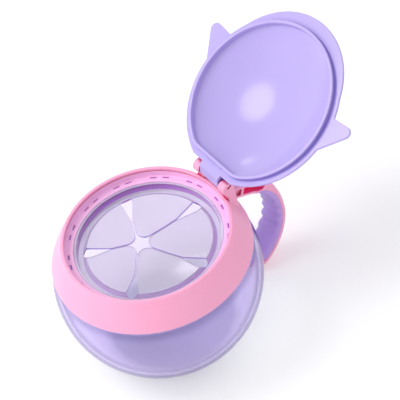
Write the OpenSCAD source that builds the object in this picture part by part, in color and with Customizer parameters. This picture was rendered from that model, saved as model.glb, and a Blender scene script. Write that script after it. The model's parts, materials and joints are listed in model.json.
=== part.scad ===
// Ball-shaped snack container for a toddler. A clear cup carries a turn-off
// collar with hinge ears and a hooked handle. A soft slit flap closes the
// collar's mouth, and a flip lid swings back over the handle.
// Frame: origin at the centre of the cup's flat base, +Z up, the lid's thumb
// edge towards -Y, the hinge and the handle towards +Y. Millimetres.

/* [Cup] */
// Outside diameter of the ball
ball_d = 90; // [84:1:110]
// Wall thickness of the cup
cup_wall = 2; // [1.4:0.1:3]
// Diameter of the flat base
base_d = 56; // [46:1:64]
// Thickness of the cup's floor
base_t = 2.6; // [1.6:0.1:4]
// Height of the collar's seat above the ball's centre
seat_up = 13.6; // [11:0.1:16]
// Width of the seat, from the ball's surface in to the neck
seat_w = 6.2; // [5.6:0.1:7.5]

/* [Collar] */
// Height of the collar, from its lower edge to the crest of its rim
collar_h = 13; // [11:0.1:16]
// How far the collar's lower edge stands out past the ball
collar_proud = 0.5; // [0:0.1:1.5]
// How far the collar's side leans in, from its lower edge to its shoulder
collar_lean = 5.9; // [4.5:0.1:6.5]
// Wall thickness of the collar's skirt
skirt_wall = 1.9; // [1.4:0.1:2.4]
// Width of the rim
rim_w = 2.3; // [1.8:0.1:3.5]
// Depth of the mouth, from the rim's crest down to the floor
mouth_depth = 4.5; // [3.5:0.1:6]
// Width of the floor, from the rim in to the flap
floor_w = 3.2; // [2.8:0.1:5]
// Thickness of the floor
floor_t = 1.6; // [1.2:0.1:2.4]

/* [Lugs] */
// Number of locking lugs around the neck
lug_count = 3; // [2:1:4]
// Arc of one lug, in degrees
lug_arc = 34; // [20:1:40]
// Height of one lug
lug_h = 1.8; // [1.2:0.1:2.4]
// How far a lug stands out from the neck
lug_out = 1.8; // [1.2:0.1:2.2]
// Height of a collar ledge under a lug
ledge_h = 1.5; // [1:0.1:2]

/* [Flap] */
// Thickness of the flap's soft material
flap_t = 1.1; // [0.7:0.1:1.6]
// Depth of the groove around the petals, below the floor
groove_depth = 4; // [3:0.1:6]
// Width of the groove's bottom
groove_w = 2.2; // [1.5:0.1:3]
// Width of the slope between the groove and the petals
slope_w = 1.5; // [1:0.1:3]
// Height of the petals' roots above the groove's bottom
petal_rise = 2; // [1:0.1:3]
// How far the petals sag between their roots and the flap's middle
petal_sag = 2.6; // [0:0.1:5]
// Number of petals
petal_count = 5; // [4:1:7]
// Turn of the petals about the flap's middle, in degrees
petal_turn = 21.4; // [0:0.2:72]
// Where the slits meet, to the side of the cup's axis
star_x = -5.6; // [-8:0.1:8]
// Where the slits meet, to the back of the cup's axis
star_y = -2.4; // [-8:0.1:8]
// Width of a slit's narrow run
slit_w = 0.5; // [0.3:0.05:1]
// Diameter of the relief hole at a slit's outer end
relief_d = 5; // [3:0.1:6.5]
// Length over which a slit widens into its relief hole
relief_taper = 10; // [6:0.5:14]
// Radius of a petal's rounded tip
tip_r = 4.2; // [2.5:0.1:5]
// Number of slots that lock the flap into the collar's floor, a third of them left out
slot_count = 39; // [30:3:45]
// Length of one locking slot
slot_len = 2.8; // [2:0.1:3.4]
// Width of one locking slot
slot_w = 0.8; // [0.6:0.1:1.2]

/* [Lid] */
// Thickness of the lid's flange
flange_t = 1.3; // [1.2:0.1:2]
// How far the thumb edge stands out at the lid's front
thumb_out = 3.1; // [1.5:0.1:5]
// Reach of one side tab past the flange
tab_out = 8.6; // [4:0.1:12]
// Height of the plug rib
rib_h = 2.4; // [1.5:0.1:3.2]
// Thickness of the plug rib
rib_t = 1.2; // [1:0.1:2]
// Depth of the dish inside the lid
dish_depth = 11; // [7:0.5:14]
// Wall thickness of the lid's dome
dome_wall = 1.8; // [1.4:0.1:2.6]

/* [Hinge] */
// Height of the hinge axis above the rim's crest
axis_up = 5.25; // [4.8:0.05:6]
// Outside width across the two ears
ears_w = 21.6; // [20:0.1:24]
// Thickness of one ear
ear_t = 4.2; // [3.6:0.1:4.6]
// Radius of an ear's round top
ear_r = 3; // [2.8:0.1:3.4]
// Radius of the lid's knuckle between the ears
knuckle_r = 2.9; // [2.4:0.1:3.4]
// Diameter of a trunnion on the lid's knuckle
trunnion_d = 2.6; // [2:0.1:3]
// How far a trunnion reaches into its ear
trunnion_len = 2.2; // [1.6:0.1:2.6]
// How far the lid is thrown back from closed, in degrees
lid_open = 150.6; // [90:0.2:155]

/* [Handle] */
// Width of the handle
handle_w = 13; // [11:0.5:14]
// Reach of the handle behind the ball
handle_reach = 18.6; // [16:0.1:26]
// Depth of the handle's arm where it leaves the collar
root_t = 5.6; // [4.5:0.1:6.5]
// Depth of the handle's shoulder
shoulder_t = 7; // [5:0.1:8]
// Thickness of the hard strap behind the grip
strap_t = 1.9; // [1.4:0.1:3]
// Thickness of the soft grip
grip_t = 3.4; // [2:0.1:4.5]
// Height of one finger rib on the grip
grip_rib = 0.9; // [0:0.1:1.2]
// Length of the grip from one finger rib to the next
grip_pitch = 4.8; // [4:0.1:7]
// Height of the handle's tip above the table
tip_lift = 2; // [1:0.1:6]
// Depth of the deep pocket in each side of the arm
pocket_depth = 3.8; // [1:0.1:4.5]

/* [Fits] */
// Gap between two pieces that turn past each other
run_gap = 0.3; // [0.2:0.05:0.5]
// Radial clearance of a trunnion in its ear
pin_gap = 0.05; // [0.02:0.01:0.1]
// Clearance of the lid's plug rib inside the rim
plug_gap = 0.5; // [0.4:0.1:1.2]
// Clearance of a locking key in its slot
key_gap = 0.05; // [0.02:0.01:0.1]
// Gap between the closed lid and the rim
lid_gap = 0.3; // [0.2:0.1:1]

/* [Hidden] */
$fn = 96;

// Depth by which a raised part runs into the wall that carries it
overlap = 0.4;

// Cup
ball_r = ball_d / 2;
ball_z = sqrt(ball_r * ball_r - base_d * base_d / 4);
seat_z = ball_z + seat_up;
seat_r = sqrt(ball_r * ball_r - seat_up * seat_up);
neck_r = seat_r - seat_w;
neck_in = neck_r - cup_wall;
inner_r = ball_r - cup_wall;

// Collar
skirt_z = seat_z + run_gap;
crest_z = skirt_z + collar_h;
floor_z = crest_z - mouth_depth;
shoulder_drop = 2;
shoulder_z = crest_z - shoulder_drop;
skirt_r = seat_r + collar_proud;
shoulder_r = skirt_r - collar_lean;
rim_in = shoulder_r - rim_w;
mouth_r = rim_in - floor_w;
neck_top = floor_z - floor_t - flap_t - run_gap;
crest_lean = 0.35;
skirt_edge = 0.6;
side_bulge = 0.5;
crest_r = (rim_w - crest_lean) / 2;

// Flap
wall_r = mouth_r - key_gap;
groove_r = wall_r - flap_t;
slope_r = groove_r - groove_w;
petal_r = slope_r - slope_w;
groove_z = floor_z - groove_depth;
petal_z = groove_z + petal_rise;
petal_step = 360 / petal_count;
lip_down = 0.3;
slit_short = 0.2;
slit_reach = slope_r - slit_short;
relief_r = relief_d / 2;
slot_in = 2.1;
slot_r = mouth_r + slot_in;
slot_start = 75.5;
lug_start = 30;

// Lid and hinge
axis_z = crest_z + axis_up;
lid_z = crest_z + lid_gap;
axis_in = 0.2;
axis_y = shoulder_r - axis_in;
ear_lead = 0.5;
ear_y = axis_y - ear_lead;
rib_r = rim_in - plug_gap;
chord_in = 5.4;
chord_y = shoulder_r - chord_in;
flange_back = axis_y - 2;
dome_back = ear_y - ear_r - run_gap;
ear_in = ears_w / 2 - ear_t;
dish_r = rib_r - rib_t;
dish_lip = 0.6;
dish_ball = (dish_r * dish_r + pow(dish_depth - dish_lip, 2)) / (2 * (dish_depth - dish_lip));
dish_cz = lid_z + dish_depth - dish_ball;
dome_wide = 0.6;
dome_r = rib_r + dome_wide;
front_share = 0.92;
front_r = front_share * shoulder_r;
tab_tip_r = 2.7;
tab_tip_y = -11.2;
tab_front = -20.5;
tab_back_y = 1.3;

// Handle, in the plane x = 0, where a point is [y, z]
reach_drop = 4.5;
reach_z = ball_z - reach_drop;
back_y = ball_r + handle_reach;
tip_turn = 70;
low_r = (reach_z - tip_lift) / sin(tip_turn);
high_r = 46;
bend_r = 15;
bend_turn = 70;
bend_start = 50;
bend_down = 5.5;
bend_z = crest_z - bend_down;
high_turn = asin((bend_z - reach_z - bend_r * sin(bend_turn)) / (high_r - bend_r));
low_c = [back_y - low_r, reach_z];
high_c = [back_y - high_r, reach_z];
bend_c = high_c + (high_r - bend_r) * [cos(high_turn), sin(high_turn)];
root_in = 5.2;
root_down = 0.7;
root_p = [skirt_r - root_in, crest_z - root_down];
blend_len = 17;
blend_power = 1.5;
pocket_edge = 1.4;
deep_pocket = [-10.3, 3];
shallow_pocket = [-15.8, -11.5];
shallow_depth = 1.2;
arc_step = 2.5;
strap_round = 1.1;
grip_min = 0.3;
grip_narrow = 0.6;
side_share = 0.4;
tip_short = 2;
swell_len = 9;
fade_len = 10;
tip_share = 0.35;
rib_start = 6;
rib_count = 5;

function on_circle(c, r, a) = c + r * [cos(a), sin(a)];
function arc_len(r, a) = r * a * PI / 180;

// One station of the handle's back line: [y, z, outward angle, length past the shoulder]
bend_len = arc_len(bend_r, bend_start - high_turn);
high_len = bend_len + arc_len(high_r, high_turn);
low_len = high_len + arc_len(low_r, tip_turn);
function bend_at(a) = concat(on_circle(bend_c, bend_r, a), [a, arc_len(bend_r, bend_start - a)]);
function high_at(a) = concat(on_circle(high_c, high_r, a), [a, bend_len + arc_len(high_r, high_turn - a)]);
function low_at(a) = concat(on_circle(low_c, low_r, -a), [-a, high_len + arc_len(low_r, a)]);
function count(turn) = ceil(turn / arc_step);
root_line = on_circle(bend_c, bend_r, bend_turn) - root_p;
root_turn = atan2(root_line[0], -root_line[1]);
pre_len = arc_len(bend_r, bend_turn - bend_start);
arm_len = norm(root_line) + pre_len;
function arm_at(s) = s < -pre_len
    ? concat(root_p + root_line * (s + arm_len) / norm(root_line), [root_turn, s])
    : bend_at(bend_start - s / arc_len(bend_r, 1));
arm_stations = concat([arm_at(-arm_len)], [for (i = [3 : -1 : 1]) arm_at(-pre_len * i / 3)]);
bend_n = count((bend_start - high_turn) / 2);
high_n = count(high_turn);
low_n = count(tip_turn);
grip_stations = concat(
    [for (i = [0 : bend_n - 1]) bend_at(bend_start + (high_turn - bend_start) * i / bend_n)],
    [for (i = [0 : high_n - 1]) high_at(high_turn * (1 - i / high_n))],
    [for (i = [0 : low_n]) low_at(tip_turn * i / low_n)]);

// Depth of the hard part, and of the grip inside it, at a length past the shoulder
function strap_depth(s) = s < 0
    ? shoulder_t + (root_t - shoulder_t) * min(1, -s / arm_len)
    : strap_t + (shoulder_t - strap_t) * pow(max(0, 1 - s / blend_len), blend_power);
function grip_depth(s, end) =
    let (swell = sin(90 * min(1, s / swell_len)), fade = sin(90 * min(1, max(0, (end - s) / fade_len))))
    let (along = s - rib_start, wave = (1 - cos(360 * along / grip_pitch)) / 2)
    let (ribs = along < 0 || along > rib_count * grip_pitch ? 0 : grip_rib * wave)
    max(grip_min, (grip_t * swell - ribs) * (tip_share + (1 - tip_share) * fade));
// Half the width, rounded off towards the tip
function half_width(s, w, end) = let (d = max(0, 1 - (end - s) / (w / 2)))
    w / 2 * sqrt(max(0.02, 1 - d * d));

// A point of a section: across the handle, and in from its back line
function place(st, x, depth) = [x, st[0] - depth * cos(st[2]), st[1] - depth * sin(st[2])];

// A closed skin over a row of equal rings of points
module loft(rings) {
    n = len(rings[0]);
    m = len(rings);
    sides = [for (i = [0 : m - 2], j = [0 : n - 1])
        [i * n + j, i * n + (j + 1) % n, (i + 1) * n + (j + 1) % n, (i + 1) * n + j]];
    start = [[for (j = [n - 1 : -1 : 0]) j]];
    end = [[for (j = [0 : n - 1]) (m - 1) * n + j]];
    polyhedron([for (r = rings) each r], concat(sides, start, end), convexity = 6);
}

// Points along an arc, in an outline
function arc_pts(c, r, from, to, n) = [for (i = [0 : n]) on_circle(c, r, from + (to - from) * i / n)];

// A slit's end: a round relief hole that narrows towards the star
module relief(reach) {
    c = [reach - relief_r, 0];
    side_a = 90 + asin(min(0.9, (relief_r - slit_w / 2) / relief_taper));
    polygon(concat(
        [[c[0] - relief_taper, slit_w / 4], [c[0] - relief_taper, -slit_w / 4]],
        arc_pts(c, relief_r, -side_a, side_a, 16)));
}

star = [star_x, star_y];
function slit_end(k) = on_circle([0, 0], slit_reach, petal_turn + petal_step * k);
function slit_turn(k) = let (d = slit_end(k) - star) atan2(d[1], d[0]);

module reliefs() {
    for (k = [0 : petal_count - 1])
        translate(star) rotate(slit_turn(k)) relief(norm(slit_end(k) - star));
}

// Plan of one petal: a wedge between two slits, with a round tip
module petal_plan(k) {
    a = slit_turn(k);
    b = slit_turn(k + 1);
    wedge = b > a ? b - a : b - a + 360;
    tip_c = on_circle([0, 0], (tip_r + slit_w / 2) / sin(wedge / 2), wedge / 2);
    far = 2 * petal_r;
    difference() {
        intersection() {
            circle(petal_r - run_gap);
            translate(star) rotate(a) polygon(concat(
                arc_pts(tip_c, tip_r, 90 + wedge, 270, 10),
                [[far, slit_w / 2], on_circle([0, 0], 1.5 * far, wedge / 2)],
                [on_circle([0, 0], far, wedge) + slit_w / 2 * [sin(wedge), -cos(wedge)]]));
        }
        reliefs();
    }
}

// Places its child once for each locking slot: pairs, with every third left out
module each_slot() {
    for (i = [0 : slot_count - 1])
        if (i % 3 != 2)
            rotate(slot_start + 360 / slot_count * i) translate([slot_r, 0, 0]) children();
}

// Arcs of a ring, one for each lug
module lug_arcs(r_in, r_out, h, arc) {
    for (i = [0 : lug_count - 1])
        rotate(lug_start + 360 / lug_count * i - arc / 2)
            rotate_extrude(angle = arc) translate([r_in, 0]) square([r_out - r_in, h]);
}

module cup_body() color([0.78, 0.72, 0.93, 0.5]) {
    difference() {
        union() {
            intersection() {
                translate([0, 0, ball_z]) sphere(ball_r);
                cylinder(h = seat_z, r = ball_d);
            }
            translate([0, 0, ball_z]) cylinder(h = neck_top - ball_z, r = neck_r);
        }
        // hollow of the ball, with a flat floor and a ceiling under the seat
        intersection() {
            translate([0, 0, ball_z]) sphere(inner_r);
            translate([0, 0, base_t]) cylinder(h = seat_z - cup_wall - base_t, r = ball_d);
        }
        translate([0, 0, ball_z]) cylinder(h = neck_top, r = neck_in);
    }
    translate([0, 0, skirt_z + ledge_h + run_gap])
        lug_arcs(neck_r - overlap, neck_r + lug_out, lug_h, lug_arc);
}

// Outer form of the collar as one turned solid
module collar_form() {
    rotate_extrude() {
        polygon([
            [0, skirt_z], [skirt_r - skirt_edge, skirt_z], [skirt_r, skirt_z + skirt_edge],
            [(skirt_r + shoulder_r) / 2 + side_bulge, (skirt_z + shoulder_z) / 2],
            [shoulder_r, shoulder_z], [shoulder_r - crest_lean, crest_z - crest_r],
            [rim_in, crest_z - crest_r], [0, crest_z - crest_r]]);
        translate([rim_in + crest_r, crest_z - crest_r]) circle(crest_r);
    }
}

// One hinge ear: a disc on a neck behind the flange, with a blind socket and a short slot outside
module ear() {
    root_z = floor_z - 1;
    slot_up = 1.15;
    neck_y = flange_back + run_gap;
    slot_size = [2.2, 0.9];
    slot_turn = 26;
    slot_deep = 1;
    difference() {
        union() {
            translate([ear_in, ear_y, axis_z]) rotate([0, 90, 0]) cylinder(h = ear_t, r = ear_r);
            translate([ear_in, neck_y, root_z])
                cube([ear_t, ear_y + ear_r - neck_y, axis_z - root_z]);
        }
        translate([ear_in - 1, axis_y, axis_z]) rotate([0, 90, 0])
            cylinder(h = 1 + trunnion_len + pin_gap * 2, r = trunnion_d / 2 + pin_gap);
        translate([ear_in + ear_t - slot_deep, axis_y, axis_z + slot_up]) rotate([slot_turn, 0, 0])
            translate([0, -slot_size[0] / 2, -slot_size[1] / 2])
                cube([2 * slot_deep, slot_size[0], slot_size[1]]);
    }
}

module collar() color([0.97, 0.70, 0.83]) {
    difference() {
        union() {
            collar_form();
            intersection() {
                union() {
                    ear();
                    mirror([1, 0, 0]) ear();
                }
                translate([0, 0, skirt_z]) cylinder(h = 4 * collar_h, r = skirt_r);
            }
        }
        // mouth above the floor, and the opening through it
        translate([0, 0, floor_z]) cylinder(h = mouth_depth + 0.01, r = rim_in);
        cylinder(h = ball_d, r = mouth_r);
        // space inside the skirt, for the neck and its lugs
        translate([0, 0, skirt_z - 1]) cylinder(h = 1 + floor_z - floor_t - skirt_z,
            r1 = skirt_r - skirt_wall,
            r2 = shoulder_r + collar_lean * (shoulder_z - floor_z + floor_t) / (shoulder_z - skirt_z)
                - skirt_wall);
        // locking slots through the floor
        translate([0, 0, floor_z - floor_t - 1]) each_slot()
            translate([-slot_w / 2, -slot_len / 2, 0]) cube([slot_w, slot_len, floor_t + 2]);
    }
    // ledges that hook under the neck's lugs
    translate([0, 0, skirt_z])
        lug_arcs(neck_r + run_gap, skirt_r - skirt_wall + overlap, ledge_h, lug_arc);
}

// Side section of a pocket in the arm, between two lengths past the shoulder
module pocket_plan(ends) {
    span = [for (i = [0 : 5]) arm_at(ends[0] + (ends[1] - ends[0]) * i / 5)];
    front = [for (i = [5 : -1 : 0]) let (st = span[i]) place(st, 0, strap_depth(st[3]) - pocket_edge)];
    polygon([
        for (st = span) let (p = place(st, 0, pocket_edge)) [p[1], p[2]],
        for (p = front) [p[1], p[2]]]);
}

// The same pocket in both sides of the arm
module pocket_pair(ends, depth) {
    for (side = [0, 1]) mirror([side, 0, 0])
        translate([handle_w / 2 - depth, 0, 0]) rotate([90, 0, 90])
            linear_extrude(handle_w) pocket_plan(ends);
}

module handle_arm() color([0.95, 0.62, 0.78]) {
    stations = concat(arm_stations, grip_stations);
    end = low_len;
    rings = [for (st = stations)
        let (w = half_width(st[3], handle_w, end), d = strap_depth(st[3]), r = min(strap_round, d / 2, w / 2))
        concat(
            [place(st, -w, d), place(st, -w, r)],
            [for (a = [60, 30]) place(st, -w + r - r * sin(a), r - r * cos(a))],
            [place(st, -w + r, 0), place(st, w - r, 0)],
            [for (a = [30, 60]) place(st, w - r + r * sin(a), r - r * cos(a))],
            [place(st, w, r), place(st, w, d)])];
    difference() {
        loft(rings);
        collar_form();
        pocket_pair(deep_pocket, pocket_depth);
        pocket_pair(shallow_pocket, shallow_depth);
    }
}

module handle_grip() color([0.62, 0.50, 0.82]) {
    end = low_len - tip_short;
    stations = [for (st = grip_stations) if (st[3] <= end) st];
    rings = [for (st = stations)
        let (w = half_width(st[3], handle_w - grip_narrow, end), d = strap_depth(st[3]),
             q = grip_depth(st[3], end))
        concat(
            [place(st, w, d), place(st, w, d + side_share * q)],
            [for (a = [15 : 30 : 165])
                place(st, w * cos(a), d + q * (side_share + (1 - side_share) * sin(a)))],
            [place(st, -w, d + side_share * q), place(st, -w, d)])];
    loft(rings);
}

// Turned section of the flap: flange, wall, groove and the slope up to the petals
module flap_ring() color([0.72, 0.62, 0.90, 0.8]) {
    flange_out = shoulder_r;
    under = floor_z - floor_t;
    lip_z = floor_z - lip_down;
    difference() {
        rotate_extrude() polygon([
            [flange_out, under], [flange_out, under - flap_t], [wall_r, under - flap_t],
            [wall_r, groove_z - flap_t], [slope_r, groove_z - flap_t],
            [petal_r, petal_z - flap_t], [petal_r, petal_z],
            [slope_r, groove_z], [groove_r, groove_z],
            [groove_r, lip_z], [wall_r, lip_z], [wall_r, under]]);
        translate([0, 0, groove_z - 2 * flap_t]) linear_extrude(petal_rise + 4 * flap_t)
            intersection() {
                reliefs();
                circle(slope_r);
            }
    }
    // keys that stand up into the collar's locking slots
    translate([0, 0, under - 0.1]) each_slot()
        translate([-slot_w / 2 + key_gap, -slot_len / 2 + key_gap, 0])
            cube([slot_w - 2 * key_gap, slot_len - 2 * key_gap, floor_t]);
}

// One petal of the flap, cut from a shallow bowl with a flat middle
module flap_petal(k) color([0.86, 0.83, 0.94, 0.8]) {
    bands = 7;
    bowl = [for (i = [1 : bands]) let (f = i / bands) [f * petal_r, petal_z - petal_sag * (1 - f * f)]];
    middle = [0, bowl[0][1]];
    intersection() {
        translate([0, 0, petal_z - petal_sag - 2 * flap_t])
            linear_extrude(petal_sag + 4 * flap_t) petal_plan(k);
        rotate_extrude() polygon(concat([middle], bowl,
            [for (i = [bands - 1 : -1 : 0]) bowl[i] - [0, flap_t]], [middle - [0, flap_t]]));
    }
}

// Plan of the lid's flange, with the hinge plate and a tab on each side
module flange_plan() {
    difference() {
        union() {
            circle(shoulder_r);
            translate([0, -(shoulder_r + thumb_out - front_r)]) circle(front_r);
            for (side = [0, 1]) mirror([side, 0]) side_tab();
        }
        translate([-ball_d / 2, flange_back]) square(ball_d);
    }
    translate([-ear_in + run_gap, dome_back - 1])
        square([2 * (ear_in - run_gap), axis_y - dome_back + 1]);
}

// One side tab: square in front, sloped at the back, with a round tip
module side_tab() {
    tip = [shoulder_r + tab_out - tab_tip_r, tab_tip_y];
    front = on_circle([0, 0], shoulder_r, tab_front);
    polygon(concat([[0.9 * shoulder_r, 0], front],
        arc_pts(tip, tab_tip_r, -95, 25, 10), [[shoulder_r, tab_back_y]]));
}

// Plan inside the plug rib: a circle cut off by a chord in front of the hinge
module plug_plan(inset) {
    difference() {
        circle(rib_r - inset);
        translate([-ball_d / 2, chord_y - inset]) square(ball_d);
    }
}

// The lid as it lies when it is closed
module lid_closed() {
    difference() {
        union() {
            translate([0, 0, lid_z]) linear_extrude(flange_t) flange_plan();
            intersection() {
                translate([0, 0, dish_cz]) sphere(dish_ball + dome_wall);
                translate([0, 0, lid_z]) cylinder(h = ball_d, r = dome_r);
                translate([-ball_d / 2, dome_back - ball_d, lid_z]) cube(ball_d);
            }
        }
        intersection() {
            translate([0, 0, dish_cz]) sphere(dish_ball);
            translate([0, 0, lid_z - 1]) linear_extrude(ball_d) plug_plan(rib_t);
        }
    }
    translate([0, 0, lid_z - rib_h]) linear_extrude(rib_h + overlap) difference() {
        plug_plan(0);
        plug_plan(rib_t);
    }
    translate([-ear_in + run_gap, axis_y, axis_z]) rotate([0, 90, 0])
        cylinder(h = 2 * (ear_in - run_gap), r = knuckle_r);
    translate([-ear_in + run_gap, dome_back - 1, lid_z])
        cube([2 * (ear_in - run_gap), axis_y - dome_back + 1, axis_z - lid_z - 1]);
    translate([-ear_in - trunnion_len, axis_y, axis_z]) rotate([0, 90, 0])
        cylinder(h = 2 * (ear_in + trunnion_len), r = trunnion_d / 2);
}

module lid() color([0.77, 0.71, 0.95]) {
    translate([0, axis_y, axis_z]) rotate([-lid_open, 0, 0]) translate([0, -axis_y, -axis_z])
        lid_closed();
}

cup_body();
collar();
handle_arm();
handle_grip();
flap_ring();
for (i = [1 : petal_count])
    flap_petal(i - 1);
lid();
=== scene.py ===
"""Toddler snack container: clear ball cup, pink collar with a handle, slit flap, lavender lid.

Lengths are in millimetres, in the frame of the CAD model, and are turned into metres where a mesh
is made. The lid is built as it lies when closed and is then turned back about its hinge.
"""
import json
import math

import bmesh
import bpy
from mathutils import Matrix, Vector


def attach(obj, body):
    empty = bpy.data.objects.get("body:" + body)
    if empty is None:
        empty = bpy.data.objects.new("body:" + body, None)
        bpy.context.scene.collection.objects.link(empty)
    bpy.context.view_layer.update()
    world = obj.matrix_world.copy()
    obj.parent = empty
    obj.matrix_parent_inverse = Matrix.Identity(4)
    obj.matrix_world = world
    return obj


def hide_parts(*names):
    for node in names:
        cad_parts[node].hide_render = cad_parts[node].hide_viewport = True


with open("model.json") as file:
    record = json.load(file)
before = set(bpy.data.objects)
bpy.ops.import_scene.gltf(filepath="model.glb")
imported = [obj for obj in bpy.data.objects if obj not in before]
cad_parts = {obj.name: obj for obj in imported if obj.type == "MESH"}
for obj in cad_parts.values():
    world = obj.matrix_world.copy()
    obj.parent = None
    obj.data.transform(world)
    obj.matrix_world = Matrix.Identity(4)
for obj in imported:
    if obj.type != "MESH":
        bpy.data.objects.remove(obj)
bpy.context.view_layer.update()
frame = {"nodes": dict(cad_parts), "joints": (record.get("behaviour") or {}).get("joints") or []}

MM = 0.001
SEGMENTS = 256
HINGE = next(joint for joint in frame["joints"] if joint["name"] == "lid_hinge")
PETALS = sum(node.startswith("flap_petal") for node in frame["nodes"])

# ---------------------------------------------------------------- sizes
# They are the CAD model's, apart from small relief that only the visual pieces have: the snap
# groove and bead, the slots in the ears' ends, and the places of the grip's finger hollows.
RUN_GAP = 0.3  # between pieces that move past each other
BALL_Z, BALL_R, INNER_R = 35.228, 45.0, 43.0
BOTTOM_T, CEILING_T = 2.6, 2.0
SEAT_Z, NECK_R, NECK_IN, NECK_TOP = 48.828, 36.696, 34.696, 54.628
SKIRT_Z, SKIRT_R, SKIRT_WALL, SKIRT_CROWN = 49.128, 43.396, 1.9, 1.9
SHOULDER_R, SHOULDER_Z, CREST_Z, CREST_EASE = 37.496, 60.128, 62.128, 0.9
RIM_IN, FLOOR_Z, FLOOR_T, MOUTH_R = 35.196, 57.628, 1.6, 31.996
SNAP_Z, SNAP_IN, SNAP_H, SNAP_MOUTH_H = 60.7, 0.35, 0.4, 0.6
SLOT_OUT, SLOT_HALF_W, SLOT_HALF_LEN, SLOT_FIRST = 2.1, 0.4, 1.4, 75.5
SLOT_PLACES = 39  # of which two in each three have a slot
WALL_R, GROOVE_R, GROOVE_Z = 31.946, 30.846, 53.628
SLOPE_R, PETAL_R, PETAL_Z, PETAL_SAG, FLAP_T = 28.646, 27.146, 55.628, 2.6, 1.1
AXIS_Y, AXIS_Z = (round(c / MM, 3) for c in HINGE["pos_m"][1:])
LID_OPEN = HINGE["range_deg"][1]  # from closed to thrown back, where the model rests
LID_Z, FLANGE_T, RIB_R, RIB_T, RIB_H = 62.428, 1.3, 34.696, 1.2, 2.4
DISH_BALL, DISH_CZ, DOME_WALL = 59.141, 14.287, 1.8
CHORD_Y, DOME_BACK, FLANGE_BACK = 32.096, 33.496, 35.296
KNUCKLE_R, TRUNNION_R, TRUNNION_LEN = 2.9, 1.3, 2.2
EAR_IN, EAR_T, EAR_R, EAR_Y = 6.6, 4.2, 3.0, 36.796
EAR_SLOT_UP, EAR_SLOT_TILT, SOCKET_GAP, SOCKET_DEPTH = 1.15, 26, 0.05, 2.3
TAB_TIP, TAB_R, THUMB_OUT = (SHOULDER_R + 5.9, -11.2), 2.7, 3.1
HANDLE_W, ARM_T, ROOT_T, STRAP_T, STRAP_BLEND = 13.0, 7.0, 5.6, 1.9, 17.0
GRIP_T, GRIP_SHORT, GRIP_NARROW, HOLLOW_T = 3.4, 2.0, 0.3, 1.2


def polar(c, r, degrees):
    """Point on a circle in a plane."""
    a = math.radians(degrees)
    return (c[0] + r * math.cos(a), c[1] + r * math.sin(a))


def arc(c, r, a, b, n):
    """Points of an arc, without rounding marks."""
    return [polar(c, r, a + (b - a) * i / n) + (0,) for i in range(n + 1)]


def spaced(a, b, step):
    """Even steps from a to b, each about as long as step."""
    n = max(1, round((b - a) / step))
    return [a + (b - a) * i / n for i in range(n + 1)]


def rounded(points, n=5, closed=True):
    """An outline with its corners rounded: each point is (x, y, radius)."""
    out = []
    m = len(points)
    for i, (x, y, r) in enumerate(points):
        p = Vector((x, y))
        if r <= 0 or (not closed and i in (0, m - 1)):
            out.append((x, y))
            continue
        u = Vector(points[i - 1][:2]) - p
        v = Vector(points[(i + 1) % m][:2]) - p
        lu, lv = u.length, v.length
        u, v = u / lu, v / lv
        half = u.angle(v) / 2
        if half > math.radians(88.5):
            out.append((x, y))
            continue
        d = min(r / math.tan(half), 0.48 * lu, 0.48 * lv)
        r = d * math.tan(half)
        c = p + (u + v).normalized() * (r / math.sin(half))
        s, e = p + u * d - c, p + v * d - c
        a0 = math.atan2(s.y, s.x)
        turn = (math.atan2(e.y, e.x) - a0 + math.pi) % (2 * math.pi) - math.pi
        for k in range(n + 1):
            a = a0 + turn * k / n
            out.append((c.x + r * math.cos(a), c.y + r * math.sin(a)))
    return out


# ---------------------------------------------------------------- mesh helpers
def make(name, verts, faces, turn=None):
    """A mesh object from points in millimetres, with its normals outward."""
    mesh = bpy.data.meshes.new(name)
    mesh.from_pydata([Vector(v) * MM for v in verts], [], faces)
    bm = bmesh.new()
    bm.from_mesh(mesh)
    bmesh.ops.remove_doubles(bm, verts=bm.verts, dist=1e-7)
    bmesh.ops.recalc_face_normals(bm, faces=bm.faces)
    if turn:
        bmesh.ops.transform(bm, matrix=turn, verts=bm.verts)
    bm.to_mesh(mesh)
    bm.free()
    obj = bpy.data.objects.new(name, mesh)
    bpy.context.scene.collection.objects.link(obj)
    return obj


def apply_modifiers(obj):
    """Replaces a mesh by what its modifiers make of it."""
    bpy.context.view_layer.update()
    graph = bpy.context.evaluated_depsgraph_get()
    done = bpy.data.meshes.new_from_object(obj.evaluated_get(graph))
    obj.modifiers.clear()
    old = obj.data
    obj.data = done
    bpy.data.meshes.remove(old)
    done.name = obj.name


def combine(obj, other, operation):
    """Boolean of two objects. The second is used up, and its cut faces keep its material."""
    mod = obj.modifiers.new("combine", "BOOLEAN")
    mod.operation = operation
    mod.solver = "EXACT"
    mod.material_mode = "TRANSFER" if other.data.materials else "INDEX"
    mod.object = other
    apply_modifiers(obj)
    bpy.data.objects.remove(other)


def soften(obj, angle):
    """Smooth shading, apart from edges sharper than an angle, with flat faces kept flat."""
    mesh = obj.data
    mesh.polygons.foreach_set("use_smooth", [True] * len(mesh.polygons))
    bm = bmesh.new()
    bm.from_mesh(mesh)
    limit = math.radians(angle)
    for e in bm.edges:
        e.smooth = len(e.link_faces) == 2 and e.calc_face_angle(0) < limit
    bm.to_mesh(mesh)
    bm.free()
    mod = obj.modifiers.new("soften", "WEIGHTED_NORMAL")
    mod.keep_sharp = True
    mod.weight = 80
    apply_modifiers(obj)


def ring_faces(rings, closed):
    """Quads, or triangles at a pole, between rings of vertex numbers."""
    faces = []
    for a, b in zip(rings, rings[1:] + ([rings[0]] if closed else [])):
        n = max(len(a), len(b))
        for i in range(n):
            j = (i + 1) % n
            quad = [a[i % len(a)], a[j % len(a)], b[j % len(b)], b[i % len(b)]]
            face = list(dict.fromkeys(quad))
            if len(face) > 2:
                faces.append(face)
    return faces


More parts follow.
